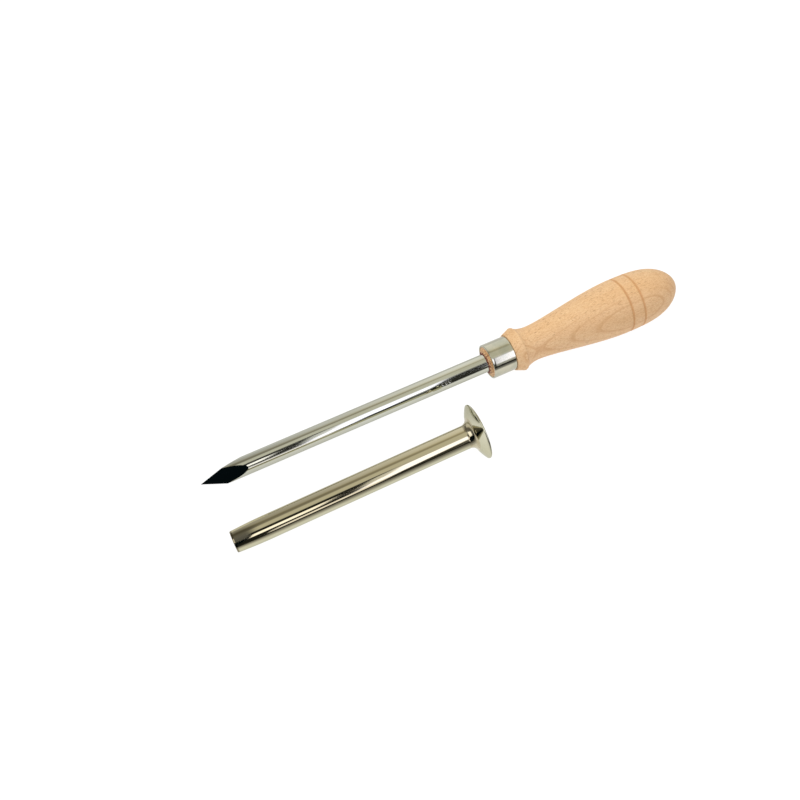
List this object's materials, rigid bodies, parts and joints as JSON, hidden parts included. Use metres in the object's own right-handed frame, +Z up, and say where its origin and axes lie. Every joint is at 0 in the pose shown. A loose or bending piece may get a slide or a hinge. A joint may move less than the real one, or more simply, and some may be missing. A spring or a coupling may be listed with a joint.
{
  "type": "veterinary trocar and cannula",
  "caption": "Three-edged rod on a turned wooden handle with a metal ferrule, beside its tube with a dished flange that slides over the rod.",
  "frame": {"origin": "middle, in plan, of the box that holds both tools as they lie side by side, at the height of the surface they lie on", "axes": "+X from the points to the handle, +Y from the cannula to the trocar, +Z up"},
  "size_m": [0.2778, 0.0674, 0.0311],
  "materials": {
    "beech": "bare turned beech, satin, with two burnished lines",
    "ferrule_steel": "plated steel, satin",
    "rod_nickel": "nickel plate, polished",
    "cement": "red-brown bedding cement, rough",
    "cannula_nickel": "nickel plate, polished, slightly warm",
    "solder": "soft solder, satin"
  },
  "bodies": {
    "cannula": {"cannula_tube": "cannula_nickel", "cannula_flange": "cannula_nickel", "flange_solder": "solder"},
    "trocar": {"handle": "beech", "ferrule": "ferrule_steel", "rod": "rod_nickel", "tang_cement": "cement"}
  },
  "joints": [
    {"name": "trocar_line_up", "type": "slide", "parent": "cannula", "child": "trocar", "axis": [0.9877, -0.1378, 0.074], "range_m": [0, 0.2706]}
  ]
}
